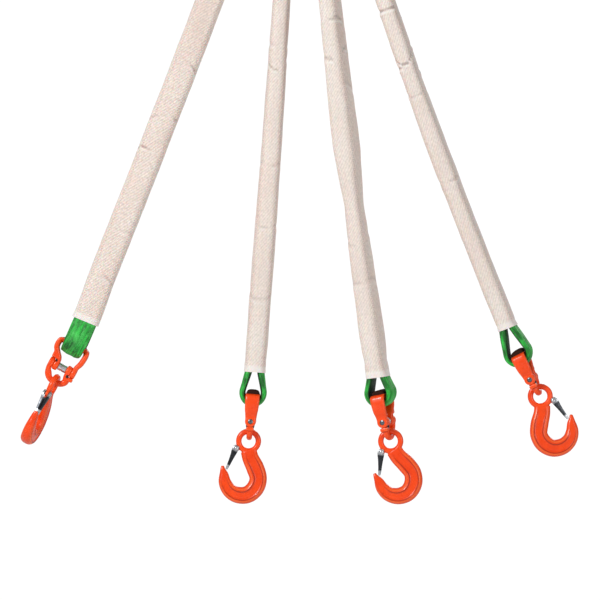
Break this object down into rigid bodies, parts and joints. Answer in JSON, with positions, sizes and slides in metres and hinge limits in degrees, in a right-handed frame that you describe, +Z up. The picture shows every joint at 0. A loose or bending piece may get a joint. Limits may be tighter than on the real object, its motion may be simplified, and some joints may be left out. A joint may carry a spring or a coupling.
{
  "type": "roundsling sling",
  "caption": "Lifting sling hanging from an oblong master link: sleeved textile roundsling legs, each ending in a forged coupling and an eye hook with a sprung safety latch.",
  "frame": {"origin": "the inner top of the master link, where a crane hook bears", "axes": "+Z up towards the crane, +X across the fan of legs towards leg 4, +Y to the back, through the fan"},
  "size_m": [1.0579, 0.157, 1.5517],
  "materials": {
    "orange_powder_coat": "glossy powder coat over forged alloy steel",
    "green_polyester": "woven polyester jacket with a slight sheen, puckered lengthways",
    "beige_sleeve_fabric": "matt twill-woven flat tube with a light selvedge",
    "zinc_plate": "zinc plated, slightly dull",
    "load_pin_steel": "dark phosphated steel"
  },
  "bodies": {
    "master_link": {"master_link": "orange_powder_coat"},
    "sub_link_left": {"sub_link_left": "orange_powder_coat"},
    "sub_link_right": {"sub_link_right": "orange_powder_coat"},
    "leg_1_upper_chain": {"leg_1_upper_chain_half": "orange_powder_coat", "leg_1_upper_load_pin": "load_pin_steel", "leg_1_upper_bush": "zinc_plate"},
    "leg_1_upper_web": {"leg_1_upper_web_half": "orange_powder_coat"},
    "leg_1_textile": {"leg_1_roundsling": "green_polyester", "leg_1_sleeve": "beige_sleeve_fabric"},
    "leg_1_lower_web": {"leg_1_lower_web_half": "orange_powder_coat"},
    "leg_1_lower_chain": {"leg_1_lower_chain_half": "orange_powder_coat", "leg_1_lower_load_pin": "load_pin_steel", "leg_1_lower_bush": "zinc_plate"},
    "leg_1_hook": {"leg_1_hook": "orange_powder_coat", "leg_1_latch_pin": "zinc_plate"},
    "leg_1_latch": {"leg_1_latch": "zinc_plate", "leg_1_latch_spring": "zinc_plate"},
    "leg_2_upper_chain": {"leg_2_upper_chain_half": "orange_powder_coat", "leg_2_upper_load_pin": "load_pin_steel", "leg_2_upper_bush": "zinc_plate"},
    "leg_2_upper_web": {"leg_2_upper_web_half": "orange_powder_coat"},
    "leg_2_textile": {"leg_2_roundsling": "green_polyester", "leg_2_sleeve": "beige_sleeve_fabric"},
    "leg_2_lower_web": {"leg_2_lower_web_half": "orange_powder_coat"},
    "leg_2_lower_chain": {"leg_2_lower_chain_half": "orange_powder_coat", "leg_2_lower_load_pin": "load_pin_steel", "leg_2_lower_bush": "zinc_plate"},
    "leg_2_hook": {"leg_2_hook": "orange_powder_coat", "leg_2_latch_pin": "zinc_plate"},
    "leg_2_latch": {"leg_2_latch": "zinc_plate", "leg_2_latch_spring": "zinc_plate"},
    "leg_3_upper_chain": {"leg_3_upper_chain_half": "orange_powder_coat", "leg_3_upper_load_pin": "load_pin_steel", "leg_3_upper_bush": "zinc_plate"},
    "leg_3_upper_web": {"leg_3_upper_web_half": "orange_powder_coat"},
    "leg_3_textile": {"leg_3_roundsling": "green_polyester", "leg_3_sleeve": "beige_sleeve_fabric"},
    "leg_3_lower_web": {"leg_3_lower_web_half": "orange_powder_coat"},
    "leg_3_lower_chain": {"leg_3_lower_chain_half": "orange_powder_coat", "leg_3_lower_load_pin": "load_pin_steel", "leg_3_lower_bush": "zinc_plate"},
    "leg_3_hook": {"leg_3_hook": "orange_powder_coat", "leg_3_latch_pin": "zinc_plate"},
    "leg_3_latch": {"leg_3_latch": "zinc_plate", "leg_3_latch_spring": "zinc_plate"},
    "leg_4_upper_chain": {"leg_4_upper_chain_half": "orange_powder_coat", "leg_4_upper_load_pin": "load_pin_steel", "leg_4_upper_bush": "zinc_plate"},
    "leg_4_upper_web": {"leg_4_upper_web_half": "orange_powder_coat"},
    "leg_4_textile": {"leg_4_roundsling": "green_polyester", "leg_4_sleeve": "beige_sleeve_fabric"},
    "leg_4_lower_web": {"leg_4_lower_web_half": "orange_powder_coat"},
    "leg_4_lower_chain": {"leg_4_lower_chain_half": "orange_powder_coat", "leg_4_lower_load_pin": "load_pin_steel", "leg_4_lower_bush": "zinc_plate"},
    "leg_4_hook": {"leg_4_hook": "orange_powder_coat", "leg_4_latch_pin": "zinc_plate"},
    "leg_4_latch": {"leg_4_latch": "zinc_plate", "leg_4_latch_spring": "zinc_plate"}
  },
  "joints": [
    {"name": "sub_link_left_swing", "type": "hinge", "parent": "master_link", "child": "sub_link_left", "pos_m": [-0.0165, 0, -0.14097], "axis": [0.9703, 0, -0.2419], "range_deg": [-1, 45]},
    {"name": "sub_link_right_swing", "type": "hinge", "parent": "master_link", "child": "sub_link_right", "pos_m": [0.0165, 0, -0.14097], "axis": [-0.9703, 0, -0.2419], "range_deg": [-1, 45]},
    {"name": "leg_1_spread", "type": "hinge", "parent": "sub_link_left", "child": "leg_1_upper_chain", "pos_m": [-0.02981, -0.012, -0.19437], "axis": [-0.1403, 0.9272, -0.3473], "range_deg": [0, 30]},
    {"name": "leg_1_upper_coupling_fold", "type": "hinge", "parent": "leg_1_upper_chain", "child": "leg_1_upper_web", "pos_m": [-0.03606, -0.01874, -0.20984], "axis": [-0.9272, 0, 0.3746], "range_deg": [-1, 30]},
    {"name": "leg_1_textile_swing", "type": "hinge", "parent": "leg_1_upper_web", "child": "leg_1_textile", "pos_m": [-0.05517, -0.03935, -0.25712], "axis": [-0.9272, 0, 0.3746], "range_deg": [-1, 25]},
    {"name": "leg_1_lower_web_swing", "type": "hinge", "parent": "leg_1_textile", "child": "leg_1_lower_web", "pos_m": [-0.42918, -0.03935, -1.22744], "axis": [0.8829, 0, -0.4695], "range_deg": [-35, 35]},
    {"name": "leg_1_lower_coupling_fold", "type": "hinge", "parent": "leg_1_lower_web", "child": "leg_1_lower_chain", "pos_m": [-0.455, -0.03935, -1.276], "axis": [0.8829, 0, -0.4695], "range_deg": [-45, 45]},
    {"name": "leg_1_hook_swing", "type": "hinge", "parent": "leg_1_lower_chain", "child": "leg_1_hook", "pos_m": [-0.46955, -0.03935, -1.30337], "axis": [0.8829, 0, -0.4695], "range_deg": [-50, 50]},
    {"name": "leg_1_latch_press", "type": "hinge", "parent": "leg_1_hook", "child": "leg_1_latch", "pos_m": [-0.48261, -0.05965, -1.32412], "axis": [0.8938, -0.1392, -0.4263], "range_deg": [0, 36], "stiffness_Nm_per_rad": 0.15, "springref_deg": -17.19},
    {"name": "leg_2_spread", "type": "hinge", "parent": "sub_link_left", "child": "leg_2_upper_chain", "pos_m": [-0.02981, 0.012, -0.19437], "axis": [-0.0521, 0.9272, 0.371], "range_deg": [0, 14]},
    {"name": "leg_2_upper_coupling_fold", "type": "hinge", "parent": "leg_2_upper_chain", "child": "leg_2_upper_web", "pos_m": [-0.02749, 0.01874, -0.21089], "axis": [0.9903, 0, 0.1392], "range_deg": [-1, 30]},
    {"name": "leg_2_textile_swing", "type": "hinge", "parent": "leg_2_upper_web", "child": "leg_2_textile", "pos_m": [-0.02039, 0.03935, -0.26139], "axis": [0.9903, 0, 0.1392], "range_deg": [-1, 25]},
    {"name": "leg_2_lower_web_swing", "type": "hinge", "parent": "leg_2_textile", "child": "leg_2_lower_web", "pos_m": [-0.09521, 0.03935, -1.32421], "axis": [0, 1, 0], "range_deg": [-35, 35]},
    {"name": "leg_2_lower_coupling_fold", "type": "hinge", "parent": "leg_2_lower_web", "child": "leg_2_lower_chain", "pos_m": [-0.1, 0.03935, -1.379], "axis": [0, 1, 0], "range_deg": [-45, 45]},
    {"name": "leg_2_hook_swing", "type": "hinge", "parent": "leg_2_lower_chain", "child": "leg_2_hook", "pos_m": [-0.1027, 0.03935, -1.40988], "axis": [0, 1, 0], "range_deg": [-50, 50]},
    {"name": "leg_2_latch_press", "type": "hinge", "parent": "leg_2_hook", "child": "leg_2_latch", "pos_m": [-0.12694, 0.03935, -1.43051], "axis": [0, -1, 0], "range_deg": [0, 36], "stiffness_Nm_per_rad": 0.15, "springref_deg": -17.19},
    {"name": "leg_3_spread", "type": "hinge", "parent": "sub_link_right", "child": "leg_3_upper_chain", "pos_m": [0.02981, -0.012, -0.19437], "axis": [0.0521, -0.9272, 0.371], "range_deg": [0, 10]},
    {"name": "leg_3_upper_coupling_fold", "type": "hinge", "parent": "leg_3_upper_chain", "child": "leg_3_upper_web", "pos_m": [0.02749, -0.01874, -0.21089], "axis": [-0.9903, 0, 0.1392], "range_deg": [-1, 30]},
    {"name": "leg_3_textile_swing", "type": "hinge", "parent": "leg_3_upper_web", "child": "leg_3_textile", "pos_m": [0.02039, -0.03935, -0.26139], "axis": [-0.9903, 0, 0.1392], "range_deg": [-1, 25]},
    {"name": "leg_3_lower_web_swing", "type": "hinge", "parent": "leg_3_textile", "child": "leg_3_lower_web", "pos_m": [0.14656, -0.03935, -1.3232], "axis": [0.3185, 0.9455, 0.0677], "range_deg": [-35, 35]},
    {"name": "leg_3_lower_coupling_fold", "type": "hinge", "parent": "leg_3_lower_web", "child": "leg_3_lower_chain", "pos_m": [0.158, -0.03935, -1.377], "axis": [0.3185, 0.9455, 0.0677], "range_deg": [-45, 45]},
    {"name": "leg_3_hook_swing", "type": "hinge", "parent": "leg_3_lower_chain", "child": "leg_3_hook", "pos_m": [0.16445, -0.03935, -1.40732], "axis": [0.3185, 0.9455, 0.0677], "range_deg": [-50, 50]},
    {"name": "leg_3_latch_press", "type": "hinge", "parent": "leg_3_hook", "child": "leg_3_latch", "pos_m": [0.14878, -0.03792, -1.43499], "axis": [-0.0686, -0.9976, -0.0127], "range_deg": [0, 36], "stiffness_Nm_per_rad": 0.15, "springref_deg": -17.19},
    {"name": "leg_4_spread", "type": "hinge", "parent": "sub_link_right", "child": "leg_4_upper_chain", "pos_m": [0.02981, 0.012, -0.19437], "axis": [0.1403, -0.9272, -0.3473], "range_deg": [0, 30]},
    {"name": "leg_4_upper_coupling_fold", "type": "hinge", "parent": "leg_4_upper_chain", "child": "leg_4_upper_web", "pos_m": [0.03606, 0.01874, -0.20984], "axis": [0.9272, 0, 0.3746], "range_deg": [-1, 30]},
    {"name": "leg_4_textile_swing", "type": "hinge", "parent": "leg_4_upper_web", "child": "leg_4_textile", "pos_m": [0.05517, 0.03935, -0.25712], "axis": [0.9272, 0, 0.3746], "range_deg": [-1, 25]},
    {"name": "leg_4_lower_web_swing", "type": "hinge", "parent": "leg_4_textile", "child": "leg_4_lower_web", "pos_m": [0.4106, 0.03935, -1.24821], "axis": [0.1692, 0.9816, 0.0881], "range_deg": [-35, 35]},
    {"name": "leg_4_lower_coupling_fold", "type": "hinge", "parent": "leg_4_lower_web", "child": "leg_4_lower_chain", "pos_m": [0.436, 0.03935, -1.297], "axis": [0.1692, 0.9816, 0.0881], "range_deg": [-45, 45]},
    {"name": "leg_4_hook_swing", "type": "hinge", "parent": "leg_4_lower_chain", "child": "leg_4_hook", "pos_m": [0.45031, 0.03935, -1.3245], "axis": [0.1692, 0.9816, 0.0881], "range_deg": [-50, 50]},
    {"name": "leg_4_latch_press", "type": "hinge", "parent": "leg_4_hook", "child": "leg_4_latch", "pos_m": [0.47844, 0.03935, -1.33939], "axis": [0, 1, 0], "range_deg": [0, 36], "stiffness_Nm_per_rad": 0.15, "springref_deg": -17.19}
  ]
}
